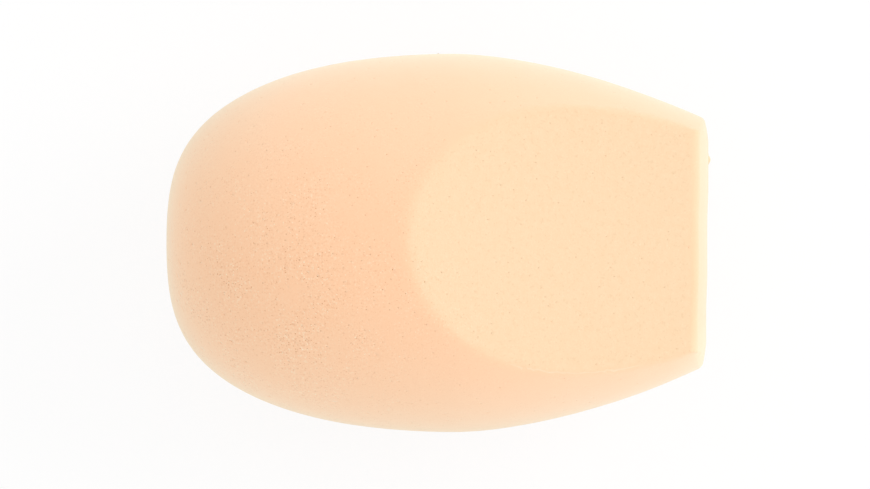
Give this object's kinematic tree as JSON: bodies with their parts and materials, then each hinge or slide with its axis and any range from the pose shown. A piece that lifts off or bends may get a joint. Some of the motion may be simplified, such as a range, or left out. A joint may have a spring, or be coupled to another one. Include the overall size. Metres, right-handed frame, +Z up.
{
  "type": "makeup sponge",
  "caption": "Blunt egg-shaped foam blending sponge with a flat end and a slanted flat facet, lying with its facet up.",
  "frame": {"origin": "on the table, below the middle of the sponge's length and width, in the small flat that the sponge rests on", "axes": "+X along the sponge, from the dome to the flat end; +Y across it; +Z up, to the side that carries the slanted facet"},
  "size_m": [0.06, 0.042, 0.0414],
  "materials": {
    "soft_foam": "matte"
  },
  "bodies": {
    "root": {"sponge_body": "soft_foam"}
  },
  "joints": []
}
